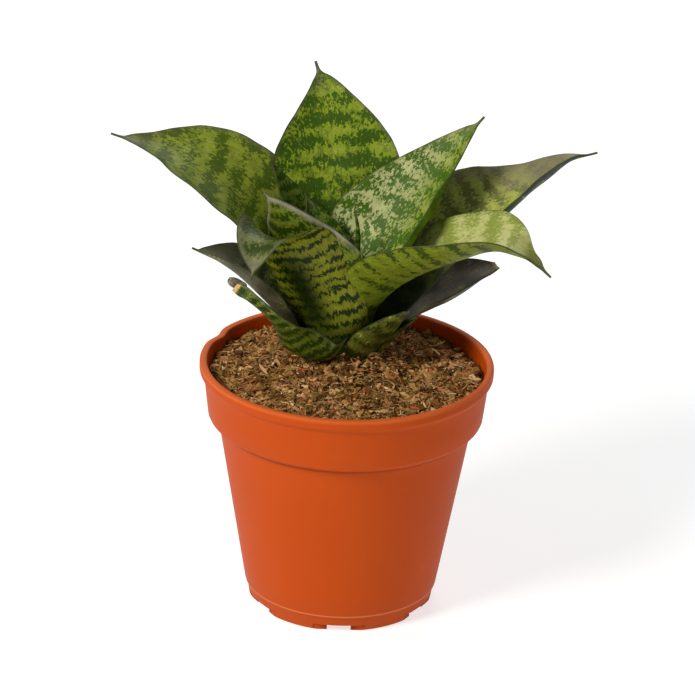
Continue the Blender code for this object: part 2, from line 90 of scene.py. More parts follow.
# Heading in degrees (0 front, 90 right, 180 back, 270 left); midrib stations as reach from the crown
# axis, drift to the leaf's right, and height; cup of each half at mid length and tip, and roll at base,
# middle and tip, in degrees. Halves narrow or widen the left and the right half.
LEAVES = {
    "leaf_front": shape(
        heading=335, radius=12.0, wrap=72, base=16.5, waist=0.6, half_width=21,
        spine=[(15, 1, 112), (20, 7, 130), (25, 12.5, 145), (36, 14, 146), (46, 13, 137)],
        cup=((50, 50), (40, 40))),
    "leaf_back": shape(
        heading=180, radius=6.2, wrap=60, waist=0.36, half_width=26.5, halves=(1.0, 1.06),
        spine=[(13, 0, 118), (24, -2, 143), (31, -4, 163), (36, -7, 182), (38, -11, 194)],
        cup=((30, 10), (25, 15))),
    "leaf_left": shape(
        heading=255, radius=8.0, wrap=54, waist=0.40, half_width=24,
        spine=[(14, 3, 118), (31, 2, 145), (52, -5, 161), (73, -10, 170), (84, -13, 174)],
        cup=((35, 30), (30, 30)), roll=(0, 16, 0), outline=FULL),
    "leaf_right_front": shape(
        heading=68.5, radius=9.0, wrap=80, base=9, waist=0.54, half_width=25.5, halves=(0.9, 1.2),
        spine=[(13, 0, 112), (32, -1.5, 131.5), (54, 0, 144), (65, 1, 148.5), (73.5, 1, 146),
               (82.5, 1.5, 139.5)],
        cup=((44, 80), (40, 32)), roll=(30, -7, -1), outline=DROOP),
    "leaf_right_inner": shape(
        heading=124, radius=2.8, wrap=58, waist=0.60, half_width=25,
        spine=[(7, 1, 112), (19, 2, 132), (34, 3, 151), (48, 5, 168), (57, 8, 179)],
        cup=((42, 90), (40, 50)), roll=(0, -18, -10), outline=SPEAR),
    "leaf_right_back": shape(
        heading=104.5, radius=10.5, wrap=50, half_width=28, halves=(1.1, 0.64),
        spine=[(20, 2, 108), (40, 0, 129.5), (63, 3, 149.5), (85.5, -1.5, 163), (97.5, -1.5, 166)],
        cup=((36, 48), (10, 60)), roll=(-25, -10, 15)),
    "leaf_left_inner": shape(
        heading=335, radius=6.2, wrap=72, half_width=25,
        spine=[(9, 4, 113), (14.5, 7, 135), (22, 12, 152), (28.5, 17, 164)],
        cup=((22, 50), (40, 40)), outline=SPEAR),
    "leaf_left_low": shape(
        heading=276, radius=11.6, wrap=42, half_width=19,
        spine=[(20, 0, 108), (33, 0, 123), (44, 0, 131), (54, 0, 136)],
        cup=((50, 50), (40, 40))),
    "leaf_front_left_low": shape(
        heading=344, radius=13.4, wrap=70, base=13.6, waist=0.47, half_width=10.4,
        spine=[(21, 4, 100), (25.5, 11, 110.5), (34, 24.5, 125), (34.5, 29.5, 128.5)],
        cup=((8, 18), (65, 54)), roll=(-13, 16, 30), outline=LIP),
    "leaf_front_right_low": shape(
        heading=46, radius=14.4, wrap=50, waist=0.56, half_width=13,
        spine=[(18, -2, 101), (24, -5, 110), (29, -7, 117)],
        cup=((50, 50), (50, 50)), outline=STUB),
    "leaf_back_left_inner": shape(
        heading=244, radius=4.5, wrap=52, half_width=14,
        spine=[(8, 0, 112), (15, 0, 136), (23, 0, 152), (29, 0, 165)],
        cup=((40, 40), (40, 40))),
    "leaf_young": shape(
        heading=228, radius=2.8, wrap=52, half_width=13,
        spine=[(4, 0, 112), (8, 0, 130), (13, 0, 143), (18, 0, 152)],
        cup=((50, 50), (50, 50))),
    "leaf_right_low": shape(
        heading=108, radius=11.6, wrap=42, half_width=17,
        spine=[(22, 0, 104), (38, 0, 111.5), (52, 0, 118.5), (62, 0, 122)],
        cup=((40, 40), (30, 30)), roll=(0, 5, 0), outline=TORN),
    "leaf_scrap": shape(
        heading=75, radius=15.2, wrap=20, half_width=6,
        spine=[(19, 0, 99), (24, 0, 105), (30, 0, 112)],
        cup=((40, 40), (40, 40)), outline=STUB),
    "leaf_back_low_left": shape(
        heading=205, radius=9.8, wrap=42, half_width=15,
        spine=[(16, 0, 104), (28, 0, 113), (40, 0, 119)],
        cup=((45, 45), (35, 35))),
    "leaf_back_low_right": shape(
        heading=152, radius=13.4, wrap=30, half_width=15,
        spine=[(19, 0, 102), (30, 0, 109), (42, 0, 114)],
        cup=((45, 45), (35, 35))),
}

# ---------------- node helpers


class Nodes:
    """Short names for the shader nodes that the materials share."""

    def __init__(self, name):
        self.material = bpy.data.materials.new(name)
        self.material.use_nodes = True
        self.tree = self.material.node_tree
        self.shader = self.tree.nodes["Principled BSDF"]

    def new(self, kind, inputs=(), **settings):
        """A node with its settings and then its inputs, given by socket name or number."""
        node = self.tree.nodes.new(kind)
        for key, value in settings.items():
            setattr(node, key, value)
        for key, value in dict(inputs).items():
            self.put(node.inputs[key], value)
        return node

    def put(self, socket, value):
        if isinstance(value, bpy.types.NodeSocket):
            self.tree.links.new(value, socket)
        elif isinstance(value, tuple) and len(value) == 3 and socket.type == "RGBA":
            socket.default_value = (*value, 1.0)
        else:
            socket.default_value = value

    def surface(self, name, value):
        """Sets or links one input of the surface shader."""
        self.put(self.shader.inputs[name], value)

    def math(self, operation, a, b=0.0, clamp=False):
        """One arithmetic node; a and b are sockets or numbers."""
        return self.new("ShaderNodeMath", {0: a, 1: b}, operation=operation, use_clamp=clamp).outputs[0]

    def add(self, a, b):
        return self.math("ADD", a, b)

    def sub(self, a, b):
        return self.math("SUBTRACT", a, b)

    def mul(self, a, b):
        return self.math("MULTIPLY", a, b)

    def step(self, value, low, high):
        """0 below low, 1 above high, smooth between."""
        inputs = {"Value": value, "From Min": low, "From Max": high}
        return self.new("ShaderNodeMapRange", inputs, interpolation_type="SMOOTHSTEP").outputs["Result"]

    def attribute(self, name):
        return self.new("ShaderNodeAttribute", attribute_name=name).outputs["Fac"]

    def point(self, x, y, z):
        return self.new("ShaderNodeCombineXYZ", {0: x, 1: y, 2: z}).outputs[0]

    def noise(self, where, scale=1.0, detail=2.0, rough=0.5):
        inputs = {"Vector": where, "Scale": scale, "Detail": detail, "Roughness": rough}
        return self.new("ShaderNodeTexNoise", inputs).outputs["Fac"]

    def mix(self, amount, a, b):
        inputs = {"Factor": amount, "A": a, "B": b}
        return self.new("ShaderNodeMix", inputs, data_type="RGBA").outputs["Result"]

    def scaled(self, colour, amount):
        """Colour made lighter or darker by a number."""
        return self.new("ShaderNodeVectorMath", {0: colour, "Scale": amount}, operation="SCALE").outputs[0]

    def bump(self, height, distance, strength):
        inputs = {"Strength": strength, "Distance": distance, "Height": height}
        return self.new("ShaderNodeBump", inputs).outputs["Normal"]


def srgb(red, green, blue):
    """Linear colour of an 8-bit display colour."""
    return tuple(
        (c / 255 / 12.92) if c <= 10 else ((c / 255 + 0.055) / 1.055) ** 2.4 for c in (red, green, blue)
    )


# ---------------- leaf material

# Two looks for each leaf: upper face and underside.
# Colours of the two bands, of the pale mottling and of the tint near the tip. Period and widths are in
# millimetres; the _from values, the reach of the painted shade at the foot, and cut are parts of the leaf's
# length (cut above 1: no cut end).
# The painted light value: above 0 it lightens the leaf's right half, below 0 its left half.
GREEN = dict(
    light=(142, 158, 34), dark=(54, 84, 0), pale=(172, 178, 84), tint=(104, 98, 78),
    period=7.0, jag=0.45, wobble=0.35, bands=0.16, patch=1.0, bias=0.0, soft=0.035,
    mottle=1.0, pale_from=0.56, dark_from=0.62, veil=0.25, glow=0.0,
    tint_from=0.86, rim_tint=0.0, rim_width=4.0, rim_from=0.0,
    keel=0.0, keel_width=6.0, deep=0.0, cut=2.0)

# Painted shade: dark green laid over the foot of a leaf where other leaves shade it
FOOT_SHADE_GREEN = (10, 34, 2)
CUT_TAN = (206, 170, 112)
MARGIN_LINE = (48, 62, 24)
DRY_TIP = (84, 78, 42)
TEETH_MM = 9.0
WANDER_MM = 14.0


def look(**changes):
    return {**GREEN, **changes}


LOOKS = {
    "leaf_back": (
        look(light=(136, 154, 32), pale=(178, 182, 92), tint=(92, 88, 66), period=8.0, bias=0.01,
             bands=0.15, wobble=0.20, jag=0.30, patch=1.2, mottle=1.15, veil=0.55, rim_tint=0.6,
             rim_width=1.8),
        look(light=(96, 112, 20), dark=(48, 72, 0))),
    "leaf_left": (
        look(light=(136, 150, 44), dark=(72, 92, 14), pale=(156, 164, 84), period=9.5, soft=0.10,
             mottle=1.1, tint=(104, 102, 68), tint_from=0.80, rim_tint=0.6, rim_width=3.0, veil=0.35),
        look(light=(80, 92, 22), dark=(52, 66, 8))),
    "leaf_right_inner": (
        look(light=(146, 158, 66), dark=(64, 98, 0), pale=(192, 194, 136), period=9.0, bias=0.03,
             patch=1.2, mottle=1.5, soft=0.03, veil=0.3, tint=(110, 122, 60), tint_from=0.80, pale_from=0.53,
             rim_tint=0.4, rim_width=2.0, glow=-0.9),
        look(light=(110, 146, 14), dark=(70, 108, 2), period=12.0, soft=0.2)),
    "leaf_right_back": (
        look(light=(170, 178, 76), dark=(106, 110, 54), pale=(184, 186, 106), period=9.0, soft=0.14,
             tint=(122, 114, 90), tint_from=0.62, rim_tint=1.0, rim_width=9.0, mottle=0.9,
             deep=0.44, veil=0.25),
        look(light=(28, 56, 8), dark=(14, 34, 4), period=9.0)),
    "leaf_right_front": (
        look(light=(190, 192, 122), dark=(136, 148, 62), pale=(216, 212, 162), period=10.0, soft=0.14,
             mottle=0.9, tint=(104, 112, 44), tint_from=0.80, rim_tint=0.5, rim_width=3.0, glow=0.4),
        look(light=(110, 122, 20), dark=(50, 66, 0), period=6.0, bias=-0.10, pale=(136, 142, 48),
             mottle=0.7)),
    "leaf_front": (
        look(light=(106, 114, 58), dark=(50, 66, 16), pale=(144, 146, 96), period=8.0, soft=0.10,
             tint=(120, 116, 92), tint_from=0.84, rim_tint=0.8, rim_width=3.0),
        look(light=(128, 132, 20), dark=(28, 46, 0), period=4.2, bias=-0.07, bands=0.22, patch=0.8,
             mottle=0.7, jag=0.7, deep=0.26, veil=0.25, pale=(146, 146, 48), keel=0.95, keel_width=10.0)),
    "leaf_left_inner": (
        look(light=(110, 124, 40), dark=(60, 80, 10), rim_tint=0.5),
        look(light=(112, 126, 36), dark=(46, 68, 2), pale=(146, 150, 86), period=6.0, rim_tint=1.0,
             rim_width=3.4, rim_from=0.62, tint=(158, 148, 130), tint_from=0.93)),
    "leaf_left_low": (
        look(light=(76, 84, 40), dark=(36, 46, 12), tint=(96, 92, 74), tint_from=0.62, rim_tint=0.7),
        look(light=(86, 84, 58), dark=(54, 54, 30), period=14.0, soft=0.3, tint=(86, 82, 62))),
    "leaf_front_left_low": (
        look(light=(100, 102, 68), dark=(66, 70, 38), soft=0.2),
        look(light=(88, 102, 16), dark=(34, 52, 0), period=4.6, bands=0.2, patch=0.7, rim_tint=0.5,
             rim_width=1.6, tint=(116, 116, 78), tint_from=0.92, cut=0.965)),
    "leaf_front_right_low": (
        look(light=(80, 88, 22), dark=(40, 52, 2)),
        look(light=(96, 100, 24), dark=(44, 54, 0), period=6.0)),
    "leaf_back_left_inner": (
        look(light=(106, 124, 34), dark=(48, 76, 2), pale=(152, 154, 96), period=5.0, rim_tint=0.4,
             rim_width=2.0, tint=(46, 70, 14)),
        look(light=(84, 98, 24), dark=(46, 62, 6))),
    "leaf_young": (
        look(light=(92, 114, 26), dark=(40, 68, 0), period=4.4),
        look(light=(84, 100, 24), dark=(44, 62, 2))),
    "leaf_right_low": (
        look(light=(118, 106, 92), dark=(76, 70, 58), period=14.0, soft=0.3, jag=1.2, mottle=0.4,
             tint=(106, 90, 70), tint_from=0.9, cut=0.975),
        look(light=(92, 86, 66), dark=(56, 54, 34), period=12.0, soft=0.3, tint=(106, 90, 76), cut=0.975)),
    "leaf_scrap": (
        look(light=(86, 98, 24), dark=(44, 56, 2)),
        look(light=(80, 92, 22), dark=(40, 52, 2))),
    "leaf_back_low_left": (
        look(light=(100, 116, 36), dark=(50, 72, 8), tint_from=0.7, rim_tint=0.5),
        look(light=(88, 98, 32), dark=(48, 62, 10))),
    "leaf_back_low_right": (
        look(light=(100, 112, 38), dark=(52, 70, 10), tint_from=0.7, rim_tint=0.5),
        look(light=(88, 98, 32), dark=(48, 62, 10))),
    "leaf_dry_curl": (
        look(light=(156, 150, 126), dark=(104, 100, 82), period=5.0, soft=0.3, tint_from=2.0),) * 2,
    "leaf_spike": (
        look(light=(76, 106, 18), dark=(34, 66, 0), period=4.0),) * 2,
}


class LeafNodes(Nodes):
    """Nodes of a leaf material and the values its mesh carries: millimetres, and reach from 0 to 1."""

    def __init__(self, name):
        super().__init__(name)
        self.across = self.attribute("across")
        self.along = self.attribute("along")
        self.edge = self.attribute("edge")
        self.reach = self.attribute("reach")

    def pattern(self, per_across, per_along, seed, detail=2.0, rough=0.5, along=None):
        """Noise with its own number of cycles per millimetre across and along the blade."""
        run = self.along if along is None else along
        where = self.point(self.mul(self.across, per_across), self.mul(run, per_along), seed)
        return self.noise(where, detail=detail, rough=rough)

    def stray(self, value, noise_, width):
        """Value moved up and down by a noise."""
        return self.add(value, self.mul(self.sub(noise_, 0.5), width))


def leaf_bands(n, style, teeth, broad, speckle, seed):
    """Ragged cross-bands: 1 where the leaf is dark, 0 where it is light, and the blocks they break into."""
    shifted = n.stray(n.along, teeth, TEETH_MM * style["jag"])
    shifted = n.stray(shifted, broad, WANDER_MM * style["wobble"])
    row = n.mul(shifted, 1.0 / style["period"])
    blocks = n.pattern(0.11, 1.15, seed + 7.7, detail=4.0, rough=0.66, along=row)
    wave = n.math("SINE", n.mul(row, 2 * math.pi))
    level = n.stray(n.mul(wave, style["bands"]), blocks, 1.5 * style["patch"])
    level = n.stray(level, speckle, 1.9 * style["mottle"])
    return n.step(n.add(level, style["bias"]), -style["soft"], style["soft"]), blocks


def leaf_mottling(n, style, colour, band, speckle, seed):
    """Dark veil over all, pale flecks in the light bands, dark freckles, and light gaps in the dark bands."""
    dark = srgb(*style["dark"])
    veil = n.pattern(0.34, 0.26, seed + 31.0, detail=4.0, rough=0.7)
    colour = n.mix(n.mul(n.step(veil, 0.44, 0.62), style["veil"]), colour, dark)
    pale = n.step(speckle, style["pale_from"] - 0.03, style["pale_from"] + 0.05)
    colour = n.mix(n.mul(n.mul(pale, n.sub(1.0, band)), 0.8), colour, srgb(*style["pale"]))
    freckle = n.pattern(1.25, 0.8, seed + 15.0, detail=4.0, rough=0.75)
    freckle = n.step(freckle, style["dark_from"], style["dark_from"] + 0.05)
    colour = n.mix(n.mul(freckle, 0.8), colour, dark)
    gaps = n.mul(n.step(speckle, 0.40, 0.33), band)
    return n.mix(n.mul(gaps, 0.6), colour, srgb(*style["light"]))


def leaf_ends(n, style, colour, teeth, broad, lines):
    """Tinted tip and margins, painted shade at the foot and tan cut end, where the leaf has them."""
    tip = n.step(n.stray(n.reach, broad, 0.25), style["tint_from"], style["tint_from"] + 0.18)
    rim = n.mul(n.step(n.edge, style["rim_width"], 0.5), style["rim_tint"])
    rim = n.mul(rim, n.step(n.reach, style["rim_from"] - 0.10, style["rim_from"] + 0.05))
    tint = n.math("MAXIMUM", tip, n.mul(rim, n.add(0.4, teeth)), clamp=True)
    shade = n.scaled(srgb(*style["tint"]), n.add(0.6, n.mul(lines, 0.8)))
    colour = n.mix(n.mul(tint, 0.85), colour, shade)
    # Painted shade: the foot of the leaf darkened to deep green, with a ragged upper edge.
    if style["deep"] > 0.0:
        low = n.step(n.stray(n.reach, broad, 0.12), style["deep"], style["deep"] - 0.20)
        colour = n.mix(n.mul(low, 0.88), colour, srgb(*FOOT_SHADE_GREEN))
    if style["cut"] < 1.0:
        sore = n.step(n.stray(n.reach, teeth, 0.03), style["cut"], style["cut"] + 0.012)
        colour = n.mix(sore, colour, srgb(*CUT_TAN))
    return colour


def leaf_face(n, style, seed):
    """Colour of one face of a leaf."""
    teeth = n.pattern(0.85, 0.16, seed, detail=3.0, rough=0.75)
    broad = n.pattern(0.10, 0.07, seed + 3.1, detail=1.5)
    speckle = n.pattern(1.05, 0.62, seed + 11.0, detail=4.0, rough=0.72)
    lines = n.pattern(3.4, 0.08, seed + 5.0, detail=3.0)
    band, blocks = leaf_bands(n, style, teeth, broad, speckle, seed)
    light = srgb(*style["light"])
    # Painted light: one half of the leaf lightened towards the pale colour, in patches.
    if style["glow"]:
        half = n.step(n.mul(n.across, math.copysign(1.0, style["glow"])), -3.0, 12.0)
        glow = n.mul(half, n.mul(abs(style["glow"]), n.add(0.5, blocks)))
        light = n.mix(glow, light, srgb(*style["pale"]))
    colour = n.mix(band, light, srgb(*style["dark"]))
    colour = leaf_mottling(n, style, colour, band, speckle, seed)
    colour = n.scaled(colour, n.add(0.70, n.mul(lines, 0.60)))
    keel = n.step(n.math("ABSOLUTE", n.across), style["keel_width"], 0.5)
    off_middle = n.math("ABSOLUTE", n.sub(n.reach, 0.36))
    keel = n.mul(keel, n.step(n.add(off_middle, n.mul(teeth, 0.12)), 0.36, 0.16))
    colour = n.mix(n.mul(keel, style["keel"]), colour, n.scaled(srgb(*style["dark"]), 0.8))
    return leaf_ends(n, style, colour, teeth, broad, lines)


def leaf_material(name, seed):
    n = LeafNodes(name)
    upper = leaf_face(n, LOOKS[name][0], seed)
    under = leaf_face(n, LOOKS[name][1], seed + 40.0)
    colour = n.mix(n.attribute("side"), under, upper)
    wander = n.noise(n.point(n.across, n.mul(n.along, 0.3), seed), scale=0.6)
    line = n.step(n.edge, n.add(0.25, n.mul(wander, 0.5)), 0.05)
    colour = n.mix(n.mul(line, 0.75), colour, srgb(*MARGIN_LINE))
    dry = n.mul(n.step(n.reach, 0.975, 1.0), n.step(wander, 0.3, 0.5))
    colour = n.mix(n.mul(dry, n.attribute("needle")), colour, srgb(*DRY_TIP))
    n.surface("Base Color", colour)
    smear = n.pattern(0.3, 0.12, seed + 21.0, detail=3.0)
    n.surface("Roughness", n.add(0.40, n.mul(smear, 0.26)))
    n.surface("Specular IOR Level", 0.20)
    ribs = n.pattern(2.2, 0.035, seed + 2.0, detail=3.0)
    grain = n.pattern(5.0, 2.5, seed + 9.0)
    height = n.add(n.mul(ribs, 0.8), n.mul(grain, 0.2))
    n.surface("Normal", n.bump(height, 0.00035, 0.55))
    return n.material


# ---------------- leaf geometry


def hermite(points, values, at):
    """Smooth curve through values (numbers or vectors) given at increasing points."""
    count = len(points)
    slopes = []
    for k in range(count):
        low = max(k - 1, 0)
        high = min(k + 1, count - 1)
        slopes.append((values[high] - values[low]) / (points[high] - points[low]))
    k = 0
    while k < count - 2 and at > points[k + 1]:
        k += 1
    span = points[k + 1] - points[k]
    u = min(max((at - points[k]) / span, 0.0), 1.0)
    a = 2 * u**3 - 3 * u**2 + 1
    b = u**3 - 2 * u**2 + u
    c = 3 * u**2 - 2 * u**3
    d = u**3 - u**2
    return values[k] * a + slopes[k] * (b * span) + values[k + 1] * c + slopes[k + 1] * (d * span)


def midrib(leaf, count):
    """Evenly spaced points along the midrib, the direction to the leaf's right, and the whole length."""
    angle = math.radians(leaf["heading"])
    out = Vector((math.sin(angle), -math.cos(angle), 0.0))
    side = Vector((-math.cos(angle), -math.sin(angle), 0.0))
    origin = Vector((CROWN.x / MM, CROWN.y / MM, 0.0))
    stations = [(leaf["radius"], 0, LEAF_BOTTOM)] + leaf["spine"]
    points = [origin + out * reach + side * drift + Vector((0, 0, z)) for reach, drift, z in stations]
    along = [0.0]
    for a, b in zip(points, points[1:]):
        along.append(along[-1] + (b - a).length)
    fine = [hermite(along, points, along[-1] * k / CURVE_STEPS) for k in range(CURVE_STEPS + 1)]
    length = [0.0]
    for a, b in zip(fine, fine[1:]):
        length.append(length[-1] + (b - a).length)
    result = []
    k = 0
    for m in range(count):
        target = length[-1] * m / (count - 1)
        while k < CURVE_STEPS - 1 and length[k + 1] < target:
            k += 1
        part = (target - length[k]) / max(length[k + 1] - length[k], 1e-9)
        result.append(fine[k].lerp(fine[k + 1], min(max(part, 0.0), 1.0)))
    return result, side, length[-1]


def half_width(leaf, s):
    """Half width in millimetres: a clasping base, the waist above it, then the leaf's outline."""
    base = leaf.get("base", leaf["radius"] * math.radians(leaf["wrap"])) / leaf["half_width"]
    outline = [(0.0, base), (0.22, 0.45 * base + leaf["waist"])] + leaf["outline"]
    return leaf["half_width"] * hermite([p[0] for p in outline], [p[1] for p in outline], s)


def blend(values, s):
    """Value at s of three numbers given at base, middle and tip."""
    if s < 0.5:
        return values[0] + (values[1] - values[0]) * s * 2
    return values[1] + (values[2] - values[1]) * (s * 2 - 1)


def blade_frame(points, k, side, roll):
    """Sideways and upper-face directions of the blade at station k."""
    ahead = points[min(k + 3, len(points) - 1)]
    behind = points[max(k - 3, 0)]
    tangent = (ahead - behind).normalized()
    across = (side - tangent * side.dot(tangent)).normalized()
    upper = across.cross(tangent)
    turn = math.radians(roll)
    rolled = across * math.cos(turn) + upper * math.sin(turn)
    return rolled, rolled.cross(tangent)


def blade_point(leaf, point, across, upper, width, s, u):
    """Middle-surface point and its normal; u runs from -1 at the left margin to 1 at the right."""
    half = 1 if u > 0 else 0
    cup = blend((leaf["wrap"], leaf["cup"][0][half], leaf["cup"][1][half]), s)
    bend = math.radians(cup)
    radius = width / bend
    turn = bend * abs(u)
    sign = 1.0 if u > 0 else -1.0
    place = point + across * (sign * radius * math.sin(turn)) + upper * (radius * (1 - math.cos(turn)))
    normal = across * (-sign * math.sin(turn)) + upper * math.cos(turn)
    return place, normal


def thickness(s, u):
    """Thick along the midrib, thin at the margins, and thinner towards the tip."""
    middle = MIDRIB_THICK * (1 - 0.35 * s)
    return MARGIN_THICK + (middle - MARGIN_THICK) * (1 - u * u)


def waviness(seed, s, u, length, width):
    """Small dents and a rippled margin, in millimetres along the blade's normal."""
    where = Vector((u * width / 13.0, s * length / 17.0, seed))
    dents = noise.noise(where) * DENT_HEIGHT
    ripple = noise.noise(Vector((seed + 5.0, s * length / 9.0, 0.7 * (1 if u > 0 else -1))))
    fade = min(1.0, s * 3.0) * min(1.0, (1 - s) * 6.0)
    return fade * (dents + ripple * RIPPLE_HEIGHT * abs(u) ** 4)


def mesh_piece(name, verts, polygons, node):
    """A smooth shaded visible piece that stands for the node."""
    mesh = bpy.data.meshes.new(name)
    mesh.from_pydata([tuple(v) for v in verts], [], polygons)
    bm = bmesh.new()
    bm.from_mesh(mesh)
    bmesh.ops.recalc_face_normals(bm, faces=bm.faces)
    bm.to_mesh(mesh)
    bm.free()
    mesh.shade_smooth()
    return shown(name, mesh, node)


def linked(name, data):
    obj = bpy.data.objects.new(name, data)
    bpy.context.scene.collection.objects.link(obj)
    return obj


def shown(name, mesh, node):
    obj = linked(name, mesh)
    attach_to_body(obj, "root")
    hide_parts(node)
    return obj


def tube_faces(rows, around):
    """Quads between rings of points that follow one another."""
    faces = []
    for k in range(rows - 1):
        for j in range(around):
            a, b = k * around + j, k * around + (j + 1) % around
            faces.append((a, b, b + around, a + around))
    return faces


def flat_caps(rows, around):
    """One face over each end of a tube."""
    return [tuple(range(around)), tuple(range((rows - 1) * around, rows * around))]


def folded_caps(rows, around):
    """Strips over the ends of a tube whose rings run out along one face and back along the other."""
    faces = []
    for start in (0, (rows - 1) * around):
        for j in range(around // 2 - 1):
            faces.append((start + j, start + j + 1, start + around - 2 - j, start + around - 1 - j))
    return faces


def attach(mesh, key, column):
    """Gives every point of the mesh a value that materials can read."""
    mesh.attributes.new(key, "FLOAT", "POINT").data.foreach_set("value", column)


class Skin:
    """Points of a leaf-like surface, with the values that the leaf materials read at each of them."""

    def __init__(self):
        self.verts = []
        self.values = {"across": [], "along": [], "edge": [], "reach": [], "side": [], "needle": []}

    def add(self, place, **values):
        """One point, given in millimetres."""
        self.verts.append(place * MM)
        for key, value in values.items():
            self.values[key].append(value)

    def piece(self, name, polygons, node, look_name, seed):
        obj = mesh_piece(name, self.verts, polygons, node)
        for key, column in self.values.items():
            attach(obj.data, key, column)
        obj.data.materials.append(leaf_material(look_name, seed))
        return obj


def leaf_ring(leaf, seed, points, k, side, length):
    """Points round the blade at station k with their values: over the upper face, then back under it."""
    s = k / (STATIONS - 1)
    across, upper = blade_frame(points, k, side, blend(leaf["roll"], s))
    width = half_width(leaf, s)
    uneven = 1.0 + 0.012 * noise.noise(Vector((s * length / 5.0, seed, 3.0)))
    faces = ([], [])
    for j in range(ACROSS + 1):
        u = math.sin((-1 + 2 * j / ACROSS) * CROWDING) / math.sin(CROWDING)
        part = width * uneven * leaf["halves"][1 if u > 0 else 0]
        place, normal = blade_point(leaf, points[k], across, upper, part, s, u)
        place = place + normal * waviness(seed, s, u, length, width)
        values = dict(across=u * width, along=s * length, edge=(1 - abs(u)) * width, reach=s)
        for top in (0, 1):
            offset = normal * (thickness(s, u) / 2 * (1 if top else -1))
            faces[top].append((place + offset, dict(values, side=float(top))))
    return faces[1] + faces[0][::-1]


def leaf_piece(name, seed):
    leaf = LEAVES[name]
    points, side, length = midrib(leaf, STATIONS)
    needle = 0.0 if leaf["outline"] in (STUB, TORN, LIP) else 1.0
    skin = Skin()
    for k in range(STATIONS):
        for place, values in leaf_ring(leaf, seed, points, k, side, length):
            skin.add(place, needle=needle, **values)
    around = 2 * (ACROSS + 1)
    polygons = tube_faces(STATIONS, around) + folded_caps(STATIONS, around)
    blade = skin.piece(name + "_blade", polygons, name, name, seed * 3.7)
    blade.data.set_sharp_from_angle(angle=math.radians(50))


def curl_piece():
    """Small dry roll of leaf skin behind the cut end of the low front left leaf."""
    low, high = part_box("leaf_front_left_low")
    base = Vector((low.x + 0.0016, low.y + 0.0060, high.z - 0.0014)) / MM
    axis = Vector((0.80, 0.30, -0.50)).normalized()
    one = axis.cross(Vector((0, 0, 1))).normalized()
    two = axis.cross(one)
    rows, around = 26, 60
    turns, wall = 1.35, 0.28
    skin = Skin()
    for k in range(rows):
        part = k / (rows - 1)
        swell = math.sqrt(max(0.0, 1 - (2 * part - 1) ** 2)) * 0.55 + 0.45
        for outer in (1, 0):
            for j in range(around):
                q = j / (around - 1) if outer else 1 - j / (around - 1)
                turn = q * 2 * math.pi * turns + part * 0.6
                radius = (2.2 - 0.9 * q) * swell - (0.0 if outer else wall)
                dent = 0.12 * noise.noise(Vector((turn * 1.5, part * 4, 2.0)))
                spot = base + axis * (part * 7.6 - 3.4)
                spot = spot + (one * math.cos(turn) + two * math.sin(turn)) * (radius + dent)
                skin.add(spot, across=q * 9, along=part * 5, edge=3.0, reach=0.5, side=0.0, needle=0.0)
    polygons = tube_faces(rows, around * 2) + folded_caps(rows, around * 2)
    skin.piece("leaf_dry_curl", polygons, "leaf_front_left_low", "leaf_dry_curl", 83.0)


def spike_piece():
    """Rolled needle of the youngest leaf, with a spiral overlap line."""
    low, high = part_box("leaf_spike")
    centres = [Vector(p) for p in
               [(-4, 9, 101), (-2, 9, 110), (0, 9, 120), (2.4, 9, 134), (2.4, 9, 144), (1, 9, 151)]]
    radii = [1.3, 1.6, 1.6, 1.3, 0.8, 0.2]
    heights = [centre.z for centre in centres]
    rows, around = 60, 24
    skin = Skin()
    for k in range(rows):
        s = k / (rows - 1)
        z = low.z / MM + (high.z - low.z) / MM * s
        centre = hermite(heights, centres, z)
        radius = hermite(heights, radii, z)
        for j in range(around):
            turn = 2 * math.pi * j / around
            overlap = 0.12 * math.exp(-((turn - 3 - s) / 0.25) ** 2)
            fold = 1.0 + 0.10 * math.cos(turn * 2 + s * 4) - overlap
            spot = centre + Vector((math.cos(turn), math.sin(turn), 0)) * radius * fold
            skin.add(spot, across=radius * turn, along=s * 50, edge=9.0, reach=s, side=1.0, needle=1.0)
    polygons = tube_faces(rows, around) + flat_caps(rows, around)
    skin.piece("leaf_spike_roll", polygons, "leaf_spike", "leaf_spike", 61.0)


# ---------------- pot

POT_SEGMENTS = 192
NOTCHES = 6
# Height of the painted highlight line just above the foot
FOOT_HIGHLIGHT_Z = 0.0067
# Height of the painted shade line under the collar
COLLAR_SHADE_Z = 0.0712
# Height above which the rim gets a painted highlight
RIM_HIGHLIGHT_Z = 0.0925
RECESS_R = 0.0336


def pot_profile():
    """Radius and height round the wall, from the floor's underside centre over the rim to the inner floor."""
    under = [(0, 3.2), (31.3, 3.2), (31.8, 2.7), (31.8, 0.4), (32, 0)]
    out = [(33.7, 0), (34.2, 0.3), (34.4, 0.8), (35.1, 5.5), (35.3, 5.9), (35.8, 6.3), (36, 7),
           (46.6, 70), (46.8, 70.7), (47.2, 71.3), (47.8, 71.8), (49, 72.6), (49.9, 73.2),
           (50.4, 73.7), (50.7, 74.4), (52.3, 88.6), (52.5, 89.3), (53, 89.9), (53.6, 90.3),
           (53.9, 90.9), (54, 91.6), (54, 93.5), (53.8, 94.1), (53.3, 94.4), (52.7, 94.5)]
    inner = [(51.9, 94.4), (51.4, 94.1), (51.2, 93.4), (49.3, 74.8), (45.3, 70.5), (34.5, 6.2),
             (33, 4.7), (0, 4.7)]
    return [(radius * MM, z * MM) for radius, z in under + out + inner]


def densify(profile, step):
    """Extra points along long straight runs, so that small unevenness can show on them."""
    result = [profile[0]]
    for (r0, z0), (r1, z1) in zip(profile, profile[1:]):
        parts = max(1, int(math.hypot(r1 - r0, z1 - z0) / step))
        for k in range(1, parts + 1):
            result.append((r0 + (r1 - r0) * k / parts, z0 + (z1 - z0) * k / parts))
    return result


